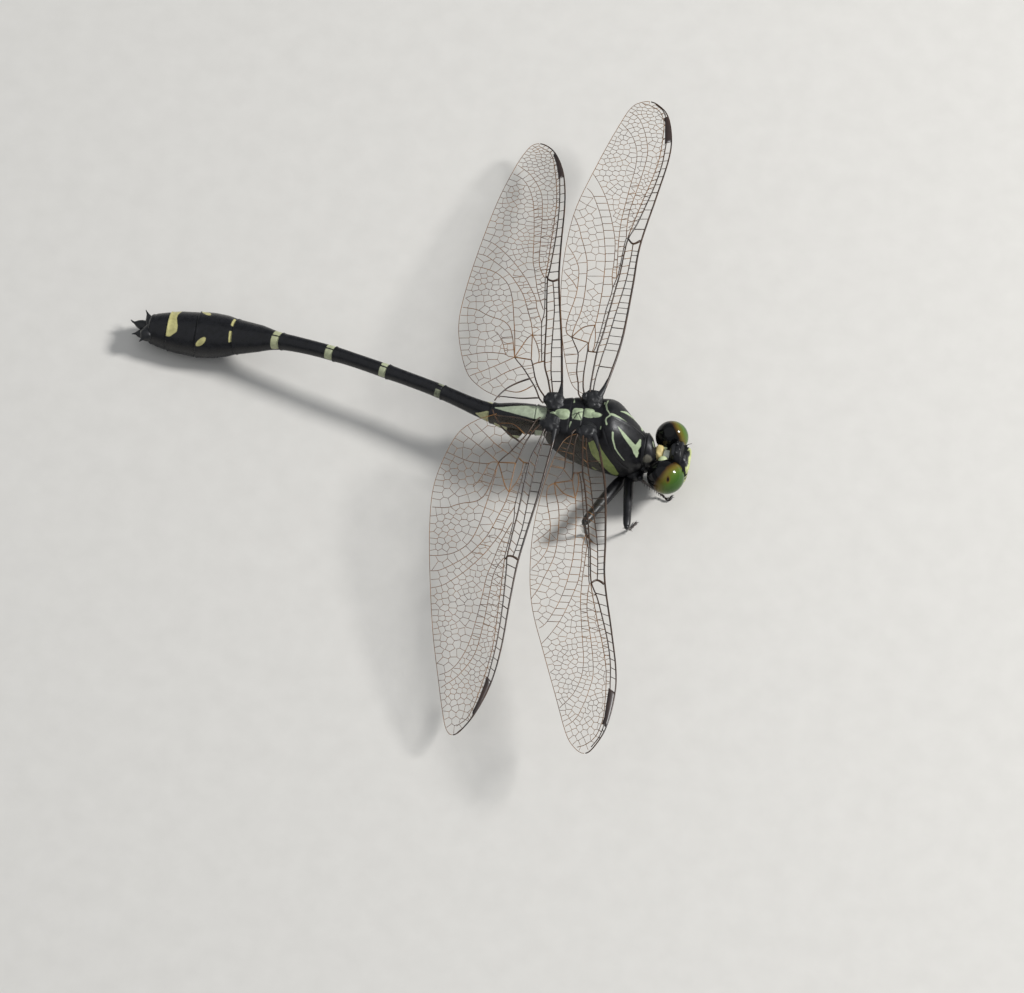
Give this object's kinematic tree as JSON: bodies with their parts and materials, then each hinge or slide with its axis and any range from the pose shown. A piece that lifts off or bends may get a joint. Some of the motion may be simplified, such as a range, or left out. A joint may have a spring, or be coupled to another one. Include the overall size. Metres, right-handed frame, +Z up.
{
  "type": "dragonfly",
  "caption": "Life-size still model of a clubtail dragonfly at rest, wings spread flat, slim abdomen ending in a club, legs and tail club on the floor.",
  "frame": {"origin": "centre of the whole animal's footprint, on the floor it rests on", "axes": "+X towards the head, +Y towards the left wings, +Z up"},
  "size_m": [0.0472, 0.0608, 0.0079],
  "materials": {
    "black_cuticle": "glossy black chitin",
    "thorax_cuticle": "black chitin with pale green stripes, satin",
    "banded_cuticle": "black chitin with a yellow back patch, satin",
    "pale_cuticle": "pale lime and black chitin, satin",
    "compound_eye": "green and black faceted cornea, high gloss",
    "wing": "clear membrane with brown veins"
  },
  "bodies": {
    "root": {"head": "black_cuticle", "face": "pale_cuticle", "eye_left": "compound_eye", "eye_right": "compound_eye", "antenna_left": "black_cuticle", "antenna_right": "black_cuticle", "prothorax": "thorax_cuticle", "thorax": "thorax_cuticle", "abdomen_01": "black_cuticle", "abdomen_02": "black_cuticle", "abdomen_03": "black_cuticle", "abdomen_04": "black_cuticle", "abdomen_05": "black_cuticle", "abdomen_06": "black_cuticle", "abdomen_07": "black_cuticle", "abdomen_08": "black_cuticle", "abdomen_09": "banded_cuticle", "abdomen_10": "black_cuticle", "cercus_left": "black_cuticle", "cercus_right": "black_cuticle", "epiproct": "black_cuticle", "forewing_left": "wing", "forewing_right": "wing", "hindwing_left": "wing", "hindwing_right": "wing", "leg_fore_left_femur": "black_cuticle", "leg_fore_left_tibia": "black_cuticle", "leg_fore_left_tarsus": "black_cuticle", "leg_fore_right_femur": "black_cuticle", "leg_fore_right_tibia": "black_cuticle", "leg_fore_right_tarsus": "black_cuticle", "leg_middle_left_femur": "black_cuticle", "leg_middle_left_tibia": "black_cuticle", "leg_middle_left_tarsus": "black_cuticle", "leg_middle_right_femur": "black_cuticle", "leg_middle_right_tibia": "black_cuticle", "leg_middle_right_tarsus": "black_cuticle", "leg_hind_left_femur": "black_cuticle", "leg_hind_left_tibia": "black_cuticle", "leg_hind_left_tarsus": "black_cuticle", "leg_hind_right_femur": "black_cuticle", "leg_hind_right_tibia": "black_cuticle", "leg_hind_right_tarsus": "black_cuticle"}
  },
  "joints": []
}
